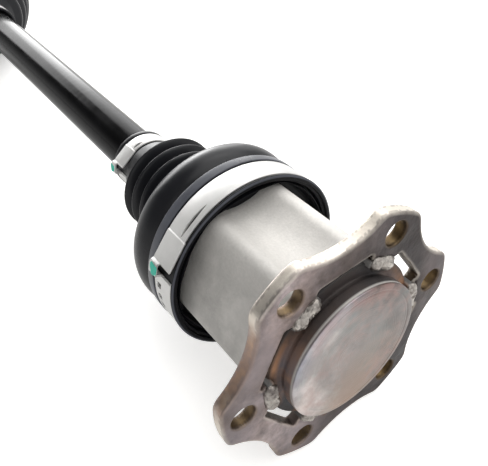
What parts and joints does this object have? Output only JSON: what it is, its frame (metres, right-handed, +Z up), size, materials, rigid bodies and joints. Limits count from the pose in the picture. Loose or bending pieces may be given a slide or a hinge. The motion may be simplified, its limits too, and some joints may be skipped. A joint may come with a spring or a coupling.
{
  "type": "constant velocity drive axle",
  "caption": "Drive axle with a bolted, plunging tripod joint in a lobed housing at one end, a ball joint with a splined stub at the other, and a bellows boot over each joint.",
  "frame": {"origin": "centre of the flange's mounting face, on the axle's axis", "axes": "+X along the axle from the flange to the splined stub, +Z up, the closed end's boss reaches to -X"},
  "size_m": [0.6176, 0.1116, 0.1044],
  "materials": {
    "tulip_steel": "forged and machined, satin",
    "plate_steel": "raw forged, matte",
    "stake_steel": "upset by staking, satin",
    "boot_rubber": "moulded, satin",
    "clamp_steel": "stainless strip, bright satin",
    "bearing_steel": "ground, polished",
    "spider_steel": "ground, satin",
    "spring_steel": "blued, satin",
    "shaft_paint": "gloss black",
    "race_steel": "turned, satin",
    "cage_steel": "hardened, satin"
  },
  "bodies": {
    "housing": {"tulip_housing": "tulip_steel", "flange_plate": "plate_steel", "stake_beads": "stake_steel", "boot_adapter": "boot_rubber", "inner_boot": "boot_rubber", "inner_large_clamp": "clamp_steel"},
    "carrier_1": {"inner_ring_1": "bearing_steel", "needles_1": "bearing_steel", "washers_1": "spring_steel"},
    "carrier_2": {"inner_ring_2": "bearing_steel", "needles_2": "bearing_steel", "washers_2": "spring_steel"},
    "carrier_3": {"inner_ring_3": "bearing_steel", "needles_3": "bearing_steel", "washers_3": "spring_steel"},
    "tyre_1": {"roller_1": "bearing_steel"},
    "tyre_2": {"roller_2": "bearing_steel"},
    "tyre_3": {"roller_3": "bearing_steel"},
    "shaft": {"axle_shaft": "shaft_paint", "tripod_spider": "spider_steel", "spider_circlip": "spring_steel", "inner_race": "race_steel", "race_circlip": "spring_steel", "inner_small_clamp": "clamp_steel", "outer_small_clamp": "clamp_steel"},
    "cage": {"ball_cage": "cage_steel", "balls": "bearing_steel"},
    "bell": {"outer_race": "race_steel", "outer_large_clamp": "clamp_steel", "outer_boot": "boot_rubber"}
  },
  "joints": [
    {"name": "plunge", "type": "slide", "parent": "housing", "child": "carrier_1", "axis": [1, 0, 0], "range_m": [-0.012, 0.012], "deforming": ["inner_boot"]},
    {"name": "inner_tilt", "type": "hinge", "parent": "carrier_1", "child": "shaft", "pos_m": [0.042, 0, 0], "axis": [0, 0, 1], "range_deg": [-15, 15], "deforming": ["inner_boot"]},
    {"name": "creep_2", "type": "slide", "parent": "carrier_1", "child": "carrier_2", "axis": [1, 0, 0], "range_m": [-0.005, 0.005]},
    {"name": "creep_3", "type": "slide", "parent": "carrier_1", "child": "carrier_3", "axis": [1, 0, 0], "range_m": [-0.005, 0.005]},
    {"name": "roll_1", "type": "hinge", "parent": "carrier_1", "child": "tyre_1", "pos_m": [0.042, 0, 0], "axis": [0, 0, -1], "range_deg": [-41, 41]},
    {"name": "roll_2", "type": "hinge", "parent": "carrier_2", "child": "tyre_2", "pos_m": [0.042, 0, 0], "axis": [0, 0.866, 0.5], "range_deg": [-41, 41]},
    {"name": "roll_3", "type": "hinge", "parent": "carrier_3", "child": "tyre_3", "pos_m": [0.042, 0, 0], "axis": [0, -0.866, 0.5], "range_deg": [-41, 41]},
    {"name": "outer_tilt", "type": "hinge", "parent": "shaft", "child": "bell", "pos_m": [0.525, 0, 0], "axis": [0, 0, 1], "range_deg": [-40, 40], "deforming": ["outer_boot"]},
    {"name": "cage_tilt", "type": "hinge", "parent": "shaft", "child": "cage", "pos_m": [0.525, 0, 0], "axis": [0, 0, 1], "range_deg": [-20, 20]}
  ],
  "couplings": [
    {"joint": "creep_2", "follows": "inner_tilt", "m_per_rad": -0.018187},
    {"joint": "creep_3", "follows": "inner_tilt", "m_per_rad": 0.018187},
    {"joint": "roll_1", "follows": "plunge", "rad_per_m": 58.824},
    {"joint": "roll_2", "follows": "plunge", "rad_per_m": 58.824},
    {"joint": "roll_3", "follows": "plunge", "rad_per_m": 58.824},
    {"joint": "cage_tilt", "follows": "outer_tilt", "ratio": 0.5}
  ]
}
